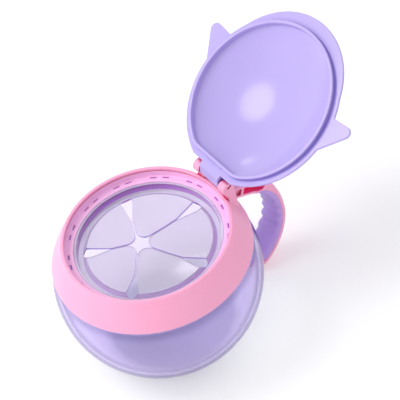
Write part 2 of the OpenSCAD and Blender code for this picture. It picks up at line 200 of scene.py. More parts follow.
def skin(name, loops, closed=False, caps=False):
    """A skin over loops of points. A loop of one point is a pole."""
    verts, rings = [], []
    for loop in loops:
        rings.append(list(range(len(verts), len(verts) + len(loop))))
        verts += loop
    faces = ring_faces(rings, closed)
    if caps:
        faces += [rings[0][::-1], rings[-1]]
    return make(name, verts, faces)


def lathe(name, outline, closed=True, n=SEGMENTS):
    """A turned solid from (radius, height) points."""
    turns = [(math.cos(2 * math.pi * i / n), math.sin(2 * math.pi * i / n)) for i in range(n)]
    loops = [[(0, 0, z)] if r < 1e-6 else [(r * c, r * s, z) for c, s in turns] for r, z in outline]
    return skin(name, loops, closed)


def inset(outline, d):
    """The same closed outline, moved inward by d along its normals. Anticlockwise."""
    n = len(outline)
    out = []
    for i, (x, y) in enumerate(outline):
        ax, ay = outline[i - 1]
        bx, by = outline[(i + 1) % n]
        t = Vector((bx - ax, by - ay))
        t.normalize()
        out.append((x - t.y * d, y + t.x * d))
    return out


def shrink(outline, d, centre=(0, 0), reach=36):
    """An outline drawn in by d and seen from its centre, so that it can't cross itself."""
    if d < 1e-6:
        return list(outline)
    pts = [(x - centre[0], y - centre[1]) for x, y in outline]
    n = len(pts)
    out = []
    for i, (x, y) in enumerate(pts):
        r = math.hypot(x, y)
        ux, uy = x / r, y / r
        best = r - d
        for j in range(i - reach, i + reach + 1):
            px, py = pts[j % n]
            off = ux * py - uy * px
            if abs(off) < d:
                best = min(best, ux * px + uy * py - math.sqrt(d * d - off * off))
        out.append((centre[0] + ux * best, centre[1] + uy * best))
    return out


def slab(name, outline, low, high, edge, place, n=4):
    """A plate with rounded edges: place(u, v, w) puts a point of the outline at height w."""
    steps = [(edge * (1 - math.sin(math.radians(90 * k / n))),
              edge * (1 - math.cos(math.radians(90 * k / n)))) for k in range(n + 1)]
    loops = []
    for d, h in steps:
        loops.append([place(x, y, low + h) for x, y in inset(outline, d)])
    for d, h in reversed(steps):
        loops.append([place(x, y, high - h) for x, y in inset(outline, d)])
    return skin(name, loops, caps=True)


def box(name, low, high, turn=None):
    """A box between two corners, which may be turned."""
    corners = [(x, y, z) for x in (low[0], high[0]) for y in (low[1], high[1])
               for z in (low[2], high[2])]
    faces = [(0, 1, 3, 2), (4, 6, 7, 5), (0, 4, 5, 1), (2, 3, 7, 6), (0, 2, 6, 4), (1, 5, 7, 3)]
    return make(name, corners, faces, turn)


def join(objs):
    """One object from several. The first one's name stays."""
    first = objs[0]
    bm = bmesh.new()
    for o in objs:
        bm.from_mesh(o.data)
    bm.to_mesh(first.data)
    bm.free()
    for o in objs[1:]:
        bpy.data.objects.remove(o)
    return first


def put(obj, body, slot, material, *nodes):
    """Places a finished piece on its body, in place of its CAD nodes."""
    if not obj.data.materials:
        obj.data.materials.append(material)
    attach(obj, body)
    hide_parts(*nodes)


def paint(obj, material, inside):
    """A second material on the faces whose centre, as radius and height, is inside."""
    obj.data.materials.append(material)
    index = len(obj.data.materials) - 1
    for face in obj.data.polygons:
        c = face.center / MM
        if inside(math.hypot(c.x, c.y), c.z):
            face.material_index = index


# ---------------------------------------------------------------- materials
MOTTLE_SCALE = 45.0
GRAIN_DEPTH = 0.0001
SOAK_REACH = 0.0025
# Heights over which the painted shade on the ball under the collar rises.
NECK_SHADE_Z = (0.0425, 0.0475)


def srgb(r, g, b):
    """A linear colour from a screen colour of 0 to 255."""
    return tuple(c / 12.92 if c <= 0.04045 else ((c + 0.055) / 1.055) ** 2.4
                 for c in (r / 255, g / 255, b / 255)) + (1.0,)


def let_lamps_through(mat, tint):
    """Lamps light what is behind a clear piece, tinted by it."""
    nodes, links = mat.node_tree.nodes, mat.node_tree.links
    path = nodes.new("ShaderNodeLightPath")
    clear = nodes.new("ShaderNodeBsdfTransparent")
    clear.inputs["Color"].default_value = tint
    mix = nodes.new("ShaderNodeMixShader")
    links.new(path.outputs["Is Shadow Ray"], mix.inputs["Fac"])
    links.new(nodes["Principled BSDF"].outputs["BSDF"], mix.inputs[1])
    links.new(clear.outputs["BSDF"], mix.inputs[2])
    links.new(mix.outputs["Shader"], nodes["Material Output"].inputs["Surface"])


def soft_span(nodes, links, value, low, high, top=1.0):
    """A value's smooth rise from 0 at low to top at high."""
    span = nodes.new("ShaderNodeMapRange")
    span.interpolation_type = "SMOOTHSTEP"
    span.inputs["From Min"].default_value = low
    span.inputs["From Max"].default_value = high
    span.inputs["To Max"].default_value = top
    links.new(value, span.inputs["Value"])
    return span.outputs["Result"]


def blend(nodes, links, share, first, second):
    """A mix of two tones, each a colour or a socket: all of the second where share is 1."""
    mix = nodes.new("ShaderNodeMix")
    mix.data_type = "RGBA"
    links.new(share, mix.inputs["Factor"])
    for name, tone in (("A", first), ("B", second)):
        if isinstance(tone, tuple):
            mix.inputs[name].default_value = tone
        else:
            links.new(tone, mix.inputs[name])
    return mix.outputs["Result"]


def height_of(nodes, links, vector):
    """The Z part of a vector."""
    parts = nodes.new("ShaderNodeSeparateXYZ")
    links.new(vector, parts.inputs["Vector"])
    return parts.outputs["Z"]


def larger(nodes, links, a, b):
    """The larger of two values."""
    most = nodes.new("ShaderNodeMath")
    most.operation = "MAXIMUM"
    links.new(a, most.inputs[0])
    links.new(b, most.inputs[1])
    return most.outputs["Value"]


def paint_hollow_shade(nodes, links, colour, deep, reach, span_to):
    """Painted shade: a deeper, fuller tone in grooves and pockets, where the surroundings close in.
    """
    hollow = nodes.new("ShaderNodeAmbientOcclusion")
    hollow.samples = 8
    hollow.inputs["Distance"].default_value = reach
    share = soft_span(nodes, links, hollow.outputs["AO"], *span_to)
    return blend(nodes, links, share, deep, colour)


def paint_wall_shade(nodes, links, colour, tint):
    """Painted shade: a fuller, darker tone on the upright walls of soft plastic."""
    facing = nodes.new("ShaderNodeNewGeometry")
    flat = nodes.new("ShaderNodeMath")
    flat.operation = "ABSOLUTE"
    links.new(height_of(nodes, links, facing.outputs["Normal"]), flat.inputs[0])
    share = soft_span(nodes, links, flat.outputs["Value"], 0.2, 0.85)
    return blend(nodes, links, share, tint, colour)


def paint_edge_shade(nodes, links, colour, tint):
    """Painted shade where the wall is seen edge on, on top of its real deepening there, and on the
    ball under the collar.
    """
    facing = nodes.new("ShaderNodeLayerWeight")
    facing.inputs["Blend"].default_value = 0.5
    edge = soft_span(nodes, links, facing.outputs["Facing"], 0.66, 0.80)
    coords = nodes.new("ShaderNodeTexCoord")
    height = height_of(nodes, links, coords.outputs["Object"])
    neck = soft_span(nodes, links, height, NECK_SHADE_Z[0], NECK_SHADE_Z[1], 0.4)
    return blend(nodes, links, larger(nodes, links, edge, neck), colour, tint)


def plastic(name, colour, shade, rough, bump, scale, coat=0.0, sss=0.0, trans=0.0, ior=1.46,
            rough_range=0.05, deep=None, reach=0.004, span_to=(0.3, 0.78), walls=None,
            edge_shade=None, reflection_shade=None):
    """Moulded plastic: a faint mottle of colour and of roughness, and a fine surface bump.

    Its deep tone is painted shade in hollows, its walls tone painted shade on upright walls, its
    edge tone partly painted shade where it is seen edge on, and its reflection tint a painted
    dimming of reflections.
    """
    mat = bpy.data.materials.new(name)
    mat.use_nodes = True
    nodes, links = mat.node_tree.nodes, mat.node_tree.links
    shader = nodes["Principled BSDF"]
    coords = nodes.new("ShaderNodeTexCoord")
    mottle = nodes.new("ShaderNodeTexNoise")
    mottle.inputs["Scale"].default_value = MOTTLE_SCALE
    mottle.inputs["Detail"].default_value = 3.0
    links.new(coords.outputs["Object"], mottle.inputs["Vector"])
    ramp = nodes.new("ShaderNodeValToRGB")
    ramp.color_ramp.elements[0].position = 0.3
    ramp.color_ramp.elements[1].position = 0.7
    ramp.color_ramp.elements[0].color = shade
    ramp.color_ramp.elements[1].color = colour
    links.new(mottle.outputs["Fac"], ramp.inputs["Fac"])
    tone = ramp.outputs["Color"]
    if deep:
        tone = paint_hollow_shade(nodes, links, tone, deep, reach, span_to)
    if walls:
        tone = paint_wall_shade(nodes, links, tone, walls)
    if edge_shade:
        tone = paint_edge_shade(nodes, links, tone, edge_shade)
    links.new(tone, shader.inputs["Base Color"])
    span = nodes.new("ShaderNodeMapRange")
    span.inputs["To Min"].default_value = rough - rough_range
    span.inputs["To Max"].default_value = rough + rough_range
    links.new(mottle.outputs["Fac"], span.inputs["Value"])
    links.new(span.outputs["Result"], shader.inputs["Roughness"])
    grain = nodes.new("ShaderNodeTexNoise")
    grain.inputs["Scale"].default_value = scale
    grain.inputs["Detail"].default_value = 4.0
    links.new(coords.outputs["Object"], grain.inputs["Vector"])
    relief = nodes.new("ShaderNodeBump")
    relief.inputs["Strength"].default_value = bump
    relief.inputs["Distance"].default_value = GRAIN_DEPTH
    links.new(grain.outputs["Fac"], relief.inputs["Height"])
    links.new(relief.outputs["Normal"], shader.inputs["Normal"])
    shader.inputs["IOR"].default_value = ior
    shader.inputs["Coat Weight"].default_value = coat
    shader.inputs["Coat Roughness"].default_value = 0.12
    shader.inputs["Subsurface Weight"].default_value = sss
    shader.inputs["Subsurface Radius"].default_value = (1.0, 0.6, 0.8)
    shader.inputs["Subsurface Scale"].default_value = SOAK_REACH
    shader.inputs["Transmission Weight"].default_value = trans
    # Painted reflection: a grey-violet tint that dims what the plastic reflects.
    if reflection_shade:
        shader.inputs["Specular Tint"].default_value = reflection_shade
    return mat


def tint_depth(mat, colour, density):
    """Clear plastic is darker and more violet where the eye looks through more of it."""
    nodes, links = mat.node_tree.nodes, mat.node_tree.links
    soak = nodes.new("ShaderNodeVolumeAbsorption")
    soak.inputs["Color"].default_value = colour
    soak.inputs["Density"].default_value = density
    links.new(soak.outputs["Volume"], nodes["Material Output"].inputs["Volume"])


# Its deep crimson is painted shade in pockets, creases and the snap groove.
PINK = plastic("collar_pink", srgb(254, 174, 209), srgb(253, 170, 206), 0.38, 0.10, 2600.0,
               sss=0.15, deep=srgb(196, 5, 76), reach=0.0035, span_to=(0.3, 0.82))
# Painted light: a paler, more lilac copy of the pink for the rim's inside and the floor, which lie
# in shade; its deep tone is painted shade.
INNER_PINK_PAINTED_LIGHT = plastic("collar_pink_inside_painted_light", srgb(252, 200, 242), srgb(251, 196, 239), 0.34, 0.08,
                     2600.0, sss=0.15, deep=srgb(250, 158, 214), span_to=(0.1, 0.45))
# Painted shade: a fuller crimson copy of the pink for the faces of the arm's deep pockets.
POCKET_SHADE = plastic("collar_pink_pocket_shade", srgb(255, 116, 180), srgb(255, 108, 172), 0.4, 0.10,
                 2600.0, sss=0.3, deep=srgb(255, 52, 134), reach=0.006, span_to=(0.1, 0.7))
# Painted shade: a darker violet for the flap's keys, where they lie in the shade of the slots.
KEY_SHADE = plastic("flap_keys_shade", srgb(186, 120, 208), srgb(178, 112, 202), 0.4, 0.03, 900.0)
# Its deep violet is painted shade by the rib and in the lid's other hollows.
LAVENDER = plastic("lid_lavender", srgb(186, 171, 232), srgb(184, 169, 231), 0.2, 0.06, 2600.0,
                   coat=0.45, sss=0.1, rough_range=0.015, deep=srgb(112, 84, 205), reach=0.003)
# Its deep tone is painted shade in the finger hollows and creases.
GRIP = plastic("grip_purple", srgb(196, 161, 236), srgb(191, 155, 232), 0.42, 0.25, 3200.0,
               sss=0.1, coat=0.2, deep=srgb(140, 108, 200), reach=0.002)
# Painted shade where the wall is seen edge on, beside its real deepening, and on the ball under the
# collar; a painted grey-violet dims its reflections.
CLEAR = plastic("cup_clear", srgb(244, 238, 255), srgb(242, 235, 254), 0.04, 0.01, 300.0,
                trans=1.0, ior=1.4, rough_range=0.015, edge_shade=srgb(116, 92, 170),
                reflection_shade=srgb(150, 134, 178))
# Its walls tone is painted shade on the petals' upright edges.
SOFT = plastic("flap_soft", srgb(235, 231, 240), srgb(230, 226, 237), 0.14, 0.03, 900.0,
               coat=1.0, trans=0.80, ior=1.25, rough_range=0.03, walls=srgb(166, 124, 236))
# The ring's copy of the soft plastic, less clear; its walls tone is painted shade on its wall and
# slope.
SKIRT = plastic("flap_soft_walls", srgb(238, 234, 248), srgb(232, 228, 245), 0.14, 0.03, 900.0,
                coat=1.0, trans=0.55, ior=1.25, rough_range=0.03, walls=srgb(216, 150, 238))
tint_depth(CLEAR, (0.47, 0.35, 0.95, 1), 45.0)
tint_depth(SOFT, (0.50, 0.36, 0.70, 1), 60.0)
let_lamps_through(CLEAR, srgb(236, 245, 228))
let_lamps_through(SOFT, srgb(240, 240, 240))
let_lamps_through(SKIRT, srgb(240, 240, 240))


# ---------------------------------------------------------------- cup
def make_cup():
    """Ball with a flat base, a seat for the collar and a plain neck."""
    centre = (0, BALL_Z)
    low = math.degrees(math.asin(BALL_Z / BALL_R))
    top = math.degrees(math.asin((SEAT_Z - BALL_Z) / BALL_R))
    ceiling = SEAT_Z - CEILING_T
    in_top = math.degrees(math.asin((ceiling - BALL_Z) / INNER_R))
    in_low = math.degrees(math.asin((BALL_Z - BOTTOM_T) / INNER_R))
    outline = rounded(
        [(0, 0.3, 0), (20.0, 0.3, 4.0), (25.5, 0, 3.0), (28.0, 0, 0.9)]
        + arc(centre, BALL_R, -low + 1.6, top - 0.6, 88)
        + [(polar(centre, BALL_R, top)[0], SEAT_Z, 0.3), (NECK_R, SEAT_Z, 0.5),
           (NECK_R, NECK_TOP, 0.4), (NECK_IN, NECK_TOP, 0.4), (NECK_IN, ceiling, 0.8),
           (polar(centre, INNER_R, in_top)[0], ceiling, 1.2)]
        + arc(centre, INNER_R, in_top - 2, -in_low + 3, 80)
        + [(polar(centre, INNER_R, -in_low)[0], BOTTOM_T, 2.0), (0, BOTTOM_T, 0)], 4, closed=False)
    cup = lathe("cup_shell", outline, closed=False, n=2 * SEGMENTS)
    soften(cup, 50)
    put(cup, "cup", "cup_clear", CLEAR, "cup_body")


# ---------------------------------------------------------------- collar
def ear_outline():
    """Side view of a hinge ear, as (y, z): a disc on a foot that ends inside the collar's wall."""
    neck_y = FLANGE_BACK + RUN_GAP
    disc = [p[:2] for p in arc((EAR_Y, AXIS_Z), EAR_R, 0, 222, 34)]
    return disc + [(neck_y, AXIS_Z - 3.4), (neck_y, 57.0), (37.4, 56.6), (EAR_Y + EAR_R, 53.6)]


def skirt_side():
    """Outside of the collar's skirt from its edge up to the shoulder, as (radius, height)."""
    side = []
    for i in range(1, 12):
        f = i / 12
        side.append((SKIRT_R + (SHOULDER_R - SKIRT_R) * f + SKIRT_CROWN * f * (1 - f),
                     SKIRT_Z + (SHOULDER_Z - SKIRT_Z) * f))
    return side


def collar_top(r):
    """Height of the collar's outer surface at a radius."""
    crest_r = SHOULDER_R - CREST_EASE
    if r <= crest_r:
        return CREST_Z
    if r <= SHOULDER_R:
        return CREST_Z - (CREST_Z - SHOULDER_Z) * ((r - crest_r) / CREST_EASE) ** 2
    line = [(SHOULDER_R, SHOULDER_Z)] + skirt_side()[::-1] + [(SKIRT_R, SKIRT_Z)]
    for (r0, z0), (r1, z1) in zip(line, line[1:]):
        if r <= r1:
            return z0 + (z1 - z0) * (r - r0) / (r1 - r0)
    return SKIRT_Z


def ear_foot(side_x):
    """Hollow round at the outside of an ear's foot, down the collar's side behind the lid."""
    radius, outside, sunk, steps = 1.9, EAR_IN + EAR_T, 0.25, 8
    ys = spaced(FLANGE_BACK + RUN_GAP, EAR_Y + EAR_R - 0.1, 0.35)
    loops = []
    for i in range(-1, steps + 1):
        a = math.radians(max(i, 0) * 90 / steps)
        x = outside + radius * (1 - math.cos(a)) if i >= 0 else outside - 1.0
        h = radius * (1 - math.sin(a))
        ground = [(y, collar_top(math.hypot(x, y)) - sunk) for y in ys]
        loops.append([(side_x * x, y, z + h) for y, z in ground]
                     + [(side_x * x, y, z - 1.2) for y, z in reversed(ground)])
    return skin("foot", loops, caps=True)


SLOT_ANGLES = [SLOT_FIRST + 360 / SLOT_PLACES * i for i in range(SLOT_PLACES) if i % 3 != 2]


def slot_boxes(name, low, high, gap):
    """A box for each locking slot, or for the flap's key in it, which is smaller by a gap."""
    r, w, long = MOUTH_R + SLOT_OUT, SLOT_HALF_W, SLOT_HALF_LEN
    return join([box(name, (r - w + gap, -long + gap, low), (r + w - gap, long - gap, high),
                     Matrix.Rotation(math.radians(a), 4, "Z")) for a in SLOT_ANGLES])


def hinge_ear(side_x):
    """One ear with its socket for the trunnion, a hollow round foot and a slot in its end."""
    def place(y, z, x):
        return (side_x * x, y, z)

    ear = slab("ear", ear_outline(), EAR_IN, EAR_IN + EAR_T, 0.6, place)
    hole = [polar((AXIS_Y, AXIS_Z), TRUNNION_R + SOCKET_GAP, 10 * i) for i in range(36)]
    socket = slab("socket", hole, EAR_IN - 1, EAR_IN + SOCKET_DEPTH, 0.05, place, 1)
    combine(ear, socket, "DIFFERENCE")
    combine(ear, ear_foot(side_x), "UNION")
    at = Matrix.Translation((side_x * (EAR_IN + EAR_T) * MM, AXIS_Y * MM,
                             (AXIS_Z + EAR_SLOT_UP) * MM))
    turn = Matrix.Rotation(math.radians(EAR_SLOT_TILT), 4, "X")
    combine(ear, box("cut", (-1.0, -1.1, -0.45), (1.0, 1.1, 0.45), at @ turn), "DIFFERENCE")
    return ear


def make_collar():
    """Skirt, rim with its snap groove, floor with the locking slots, and the two hinge ears."""
    under = FLOOR_Z - FLOOR_T
    lean = (SKIRT_R - SHOULDER_R) / (SHOULDER_Z - SKIRT_Z)
    inner_top = SHOULDER_R + lean * (SHOULDER_Z - under) - SKIRT_WALL
    snap_r, mouth_h, back_h = RIM_IN + SNAP_IN, SNAP_MOUTH_H / 2, SNAP_H / 2
    outline = rounded(
        [(SKIRT_R - 0.05, SKIRT_Z, 0.3)] + [(r, z, 0) for r, z in skirt_side()]
        + [(SHOULDER_R - 0.1, SHOULDER_Z + 0.6, 2.0), (SHOULDER_R - CREST_EASE, CREST_Z, 0.9),
           (RIM_IN, CREST_Z, 0.45), (RIM_IN, SNAP_Z + mouth_h, 0.08),
           (snap_r, SNAP_Z + back_h, 0.08), (snap_r, SNAP_Z - back_h, 0.08),
           (RIM_IN, SNAP_Z - mouth_h, 0.08), (RIM_IN, FLOOR_Z, 0.3), (MOUTH_R, FLOOR_Z, 0.4),
           (MOUTH_R, under, 0.3), (inner_top, under, 0.8), (SKIRT_R - SKIRT_WALL, SKIRT_Z, 0.3)],
        5)
    collar = lathe("collar_ring", outline)
    combine(collar, slot_boxes("slots", under - 1, FLOOR_Z + 1, 0), "DIFFERENCE")
    for side_x in (1, -1):
        combine(collar, hinge_ear(side_x), "UNION")
    soften(collar, 38)
    put(collar, "collar", "collar_pink", PINK, "collar")
    # Painted light: the rim's inside and the floor, which lie in shade, get the paler, lilac pink.
    paint(collar, INNER_PINK_PAINTED_LIGHT, lambda r, z: r < RIM_IN + 0.05 and under - 0.1 < z < SNAP_Z - 0.1)


# ---------------------------------------------------------------- handle
def handle_line():
    """The handle's back line, as a function of the length past its shoulder.

    From the collar it is a straight arm, then a bend and two arcs, the upper one flatter.
    """
    tip_turn, bend_turn, bend_start = 70.0, 70.0, 50.0
    reach_z, back_y = BALL_Z - 4.5, BALL_R + 18.6
    low_r = (reach_z - 2.0) / math.sin(math.radians(tip_turn))
    high_r, bend_r = 46.0, 15.0
    bend_z = CREST_Z - 5.5
    high_turn = math.degrees(math.asin(
        (bend_z - reach_z - bend_r * math.sin(math.radians(bend_turn))) / (high_r - bend_r)))
    low_c, high_c = (back_y - low_r, reach_z), (back_y - high_r, reach_z)
    bend_c = polar(high_c, high_r - bend_r, high_turn)
    root = (SKIRT_R - 5.2, CREST_Z - 0.7)

    def length(r, a):
        return r * math.radians(a)

    bend_len = length(bend_r, bend_start - high_turn)
    high_len = bend_len + length(high_r, high_turn)
    low_len = high_len + length(low_r, tip_turn)
    joint = polar(bend_c, bend_r, bend_turn)
    line = Vector((joint[0] - root[0], joint[1] - root[1]))
    pre_len = length(bend_r, bend_turn - bend_start)
    arm_len = line.length + pre_len
    root_turn = math.degrees(math.atan2(line.x, -line.y))

    def at(s):
        """(y, z, outward angle) at a length past the shoulder."""
        if s < -pre_len:
            k = (s + arm_len) / line.length
            return (root[0] + line.x * k, root[1] + line.y * k, root_turn)
        if s < bend_len:
            a = bend_start - s / length(bend_r, 1)
            return polar(bend_c, bend_r, a) + (a,)
        if s < high_len:
            a = high_turn - (s - bend_len) / length(high_r, 1)
            return polar(high_c, high_r, a) + (a,)
        a = (s - high_len) / length(low_r, 1)
        return polar(low_c, low_r, -a) + (-a,)

    return at, arm_len, low_len


STATION, ARM_LEN, HANDLE_LEN = handle_line()


def strap_depth(s):
    """Thickness of the arm and the strap."""
    if s < 0:
        return ARM_T + (ROOT_T - ARM_T) * min(1, -s / ARM_LEN)
    return STRAP_T + (ARM_T - STRAP_T) * max(0, 1 - s / STRAP_BLEND) ** 1.5


# Finger hollows of the grip: length past the shoulder, and how much of the full depth each has
GRIP_HOLLOWS = [(20.0, 0.5), (25.6, 0.85), (31.0, 1.0), (37.2, 1.0), (44.0, 0.5)]
HOLLOW_HALF_W = 2.9


def grip_hollow(s):
    """How deep the grip's hollows are at a length, from 0 to 1."""
    return sum(a * math.cos(math.pi / 2 * min(1, abs(s - c) / HOLLOW_HALF_W)) ** 2
               for c, a in GRIP_HOLLOWS)


def grip_depth(s, end):
    """How far the grip stands off the strap, without its hollows."""
    swell = math.sin(math.radians(90 * min(1, s / 9)))
    fade = math.sin(math.radians(90 * min(1, max(0, (end - s) / 10))))
    return max(0.3, GRIP_T * swell * (0.35 + 0.65 * fade))


def half_width(s, w, end):
    """Half the width of a strap with a round end."""
    d = max(0, 1 - (end - s) / (w / 2))
    return w / 2 * math.sqrt(max(0.02, 1 - d * d))


def on_station(s, x, depth):
    """A point at a length, a place across and a depth under the back line."""
    y, z, a = STATION(s)
    a = math.radians(a)
    return (x, y - depth * math.cos(a), z - depth * math.sin(a))


# Pockets in each side of the arm: where each starts and ends, and how deep it is
ARM_POCKETS = [((-10.3, 3.0), 3.8), ((-15.8, -11.5), 1.2)]


def pocket(ends, depth, side_x):
    """Cutter for a pocket in one side of the arm. The deep one's cut faces carry a painted shade.
    """
    edge = 1.4
    along = spaced(ends[0], ends[1], 0.8)
    top = [on_station(s, 0, edge)[1:] for s in along]
    low = [on_station(s, 0, strap_depth(s) - edge)[1:] for s in reversed(along)]
    corners = [top[0] + (0.5,)] + [p + (0,) for p in top[1:-1]] + [top[-1] + (0.9,)]
    corners += [low[0] + (0.9,)] + [p + (0,) for p in low[1:-1]] + [low[-1] + (0.5,)]
    outline = rounded(corners, 4)[::-1]
    cutter = slab("pocket", outline, HANDLE_W / 2 - depth, HANDLE_W / 2 + 1, 0.3,
                  lambda y, z, x: (side_x * x, y, z), 3)
    # Painted shade: the deep pocket's faces get the fuller crimson.
    cutter.data.materials.append(POCKET_SHADE if depth > 2 else PINK)
    return cutter


def make_handle():
    """Arm and strap, with two pockets in each side of the arm."""
    loops = []
    tip = [HANDLE_LEN - 0.7, HANDLE_LEN - 0.3, HANDLE_LEN]
    for s in spaced(-ARM_LEN, HANDLE_LEN - 1.2, 0.7) + tip:
        w, d = half_width(s, HANDLE_W, HANDLE_LEN), strap_depth(s)
        r = min(1.2, d * 0.45, w * 0.6)
        q = min(0.6, r)
        outline = rounded([(-w, d, q), (-w, 0, r), (w, 0, r), (w, d, q)], 5)
        loops.append([on_station(s, x, t) for x, t in outline])
    bow = skin("handle_bow", loops, caps=True)
    bow.data.materials.append(PINK)
    for side_x in (1, -1):
        for ends, depth in ARM_POCKETS:
            combine(bow, pocket(ends, depth, side_x), "DIFFERENCE")
    soften(bow, 40)
    put(bow, "collar", "collar_pink", PINK, "handle_arm")


def make_grip():
    """Soft grip on the inside of the strap, with finger hollows."""
    end = HANDLE_LEN - GRIP_SHORT
    loops = []
    for s in spaced(0, end, 0.4):
        w, d, q = half_width(s, HANDLE_W - 2 * GRIP_NARROW, end), strap_depth(s), grip_depth(s, end)
        loop = [on_station(s, w, d - 0.3), on_station(s, w, d + 0.1)]
        for a in [math.radians(4.5 * i) for i in range(1, 40)]:
            share = 0.08 + 0.92 * math.sin(a) ** 0.7
            x = math.copysign(abs(math.cos(a)) ** 0.6, math.cos(a))
            hollow = grip_hollow(s + 0.3 * w * x) * min(1, q / 3)
            loop.append(on_station(s, x * (w - 0.45 * hollow * min(1, 2 * share)),
                                   d + share * (q - HOLLOW_T * hollow)))
        loop += [on_station(s, -w, d + 0.1), on_station(s, -w, d - 0.3)]
        loops.append(loop)
    pad = skin("handle_pad", loops, caps=True)
    soften(pad, 60)
    put(pad, "collar", "grip_purple", GRIP, "handle_grip")


# ---------------------------------------------------------------- flap
STAR = Vector((-5.6, -2.4))
SLIT_W, RELIEF_R, TAPER, TIP_R = 0.5, 2.5, 10.0, 4.2
OUTLINE_STEPS, SEARCH_STEP = 220, 0.25
SLIT_ENDS = [Vector(polar((0, 0), SLOPE_R - 0.2, 21.4 + 360 / PETALS * k)) for k in range(PETALS)]


def relief_outline(k):
    """A slit's round end, narrowing towards the star."""
    way = SLIT_ENDS[k] - STAR
    reach, turn = way.length, math.degrees(math.atan2(way.y, way.x))
    c = reach - RELIEF_R
    side = 90 + math.degrees(math.asin((RELIEF_R - SLIT_W / 2) / TAPER))
    pts = [(c - TAPER, SLIT_W / 4), (c - TAPER, -SLIT_W / 4)]
    pts += [polar((c, 0), RELIEF_R, -side + 2 * side * i / 32) for i in range(33)]
    r = math.radians(turn)
    return [(STAR.x + x * math.cos(r) - y * math.sin(r), STAR.y + x * math.sin(r) + y * math.cos(r))
            for x, y in pts]


def inside_relief(p, k):
    """Whether a point is in a slit's relief."""
    way = SLIT_ENDS[k] - STAR
    u = way.normalized()
    d = p - STAR
    x, y = d.dot(u) - (way.length - RELIEF_R), abs(u.x * d.y - u.y * d.x)
    if math.hypot(x, y) < RELIEF_R:
        return True
    tangent = math.asin((RELIEF_R - SLIT_W / 2) / TAPER)
    x0, y0 = -RELIEF_R * math.sin(tangent), RELIEF_R * math.cos(tangent)
    if x > x0 or x < -TAPER:
        return False
    return y < SLIT_W / 4 + (y0 - SLIT_W / 4) * (x + TAPER) / (x0 + TAPER)


def petal_outline(k):
    """Plan of a petal, as seen from a point inside it, anticlockwise."""
    after = (k + 1) % PETALS
    a = math.atan2(*(SLIT_ENDS[k] - STAR).yx)
    b = math.atan2(*(SLIT_ENDS[after] - STAR).yx)
    wedge = (b - a) % (2 * math.pi)
    half = wedge / 2
    axis = Vector((math.cos(a + half), math.sin(a + half)))
    tip_c = STAR + axis * (TIP_R + SLIT_W / 2) / math.sin(half)

    def inside(p):
        if p.length > PETAL_R or inside_relief(p, k) or inside_relief(p, after):
            return False
        d = p - STAR
        for edge, sign in ((a, 1), (b, -1)):
            off = sign * (math.cos(edge) * d.y - math.sin(edge) * d.x)
            if off < SLIT_W / 2:
                return False
        # past the tip circle's tangent points the wedge is cut by the circle
        t = d.dot(axis)
        reach = (tip_c - STAR).length
        return t >= reach - TIP_R * math.sin(half) or (p - tip_c).length <= TIP_R

    far = (SLIT_ENDS[k] + SLIT_ENDS[after]).normalized() * PETAL_R
    centre = tip_c.lerp(far, 0.5)
    out = []
    for i in range(OUTLINE_STEPS):
        t = 2 * math.pi * i / OUTLINE_STEPS
        u = Vector((math.cos(t), math.sin(t)))
        r = 0.0
        while inside(centre + u * (r + SEARCH_STEP)):
            r += SEARCH_STEP
        lo, hi = r, r + SEARCH_STEP
        for _ in range(9):
            mid = (lo + hi) / 2
            lo, hi = (mid, hi) if inside(centre + u * mid) else (lo, mid)
        out.append(tuple(centre + u * lo))
    return out, centre


def bowl_z(x, y):
    """Height of a petal's top over a point."""
    return PETAL_Z - PETAL_SAG * (1 - (x * x + y * y) / PETAL_R ** 2)


def make_petal(k):
    """One petal of the bowl, with rounded edges."""
    outline, centre = petal_outline(k)
    edge, n = 0.35, 4
    steps = [math.radians(90 * i / n) for i in range(n + 1)]
    loops = []
    drawn = [shrink(outline, edge * (1 - math.sin(a)), centre, 12) for a in steps]
    inner = drawn[0]
    fills = [1, 0.93, 0.84, 0.72, 0.58, 0.42, 0.26, 0.12]

    def shrunk(f):
        return [(centre.x + (x - centre.x) * f, centre.y + (y - centre.y) * f) for x, y in inner]

    loops.append([(centre.x, centre.y, bowl_z(*centre) - FLAP_T)])
    for f in reversed(fills[1:]):
        loops.append([(x, y, bowl_z(x, y) - FLAP_T) for x, y in shrunk(f)])
    for a, plan in zip(steps, drawn):
        loops.append([(x, y, bowl_z(x, y) - FLAP_T + edge * (1 - math.cos(a))) for x, y in plan])
    for a, plan in reversed(list(zip(steps, drawn))):
        loops.append([(x, y, bowl_z(x, y) - edge * (1 - math.cos(a))) for x, y in plan])
    for f in fills[1:]:
        loops.append([(x, y, bowl_z(x, y)) for x, y in shrunk(f)])
    loops.append([(centre.x, centre.y, bowl_z(*centre))])
    leaf = skin("flap_leaf_%d" % (k + 1), loops)
    soften(leaf, 60)
    put(leaf, "petal_%d" % (k + 1), "flap_soft", SOFT, "flap_petal_%d" % (k + 1))


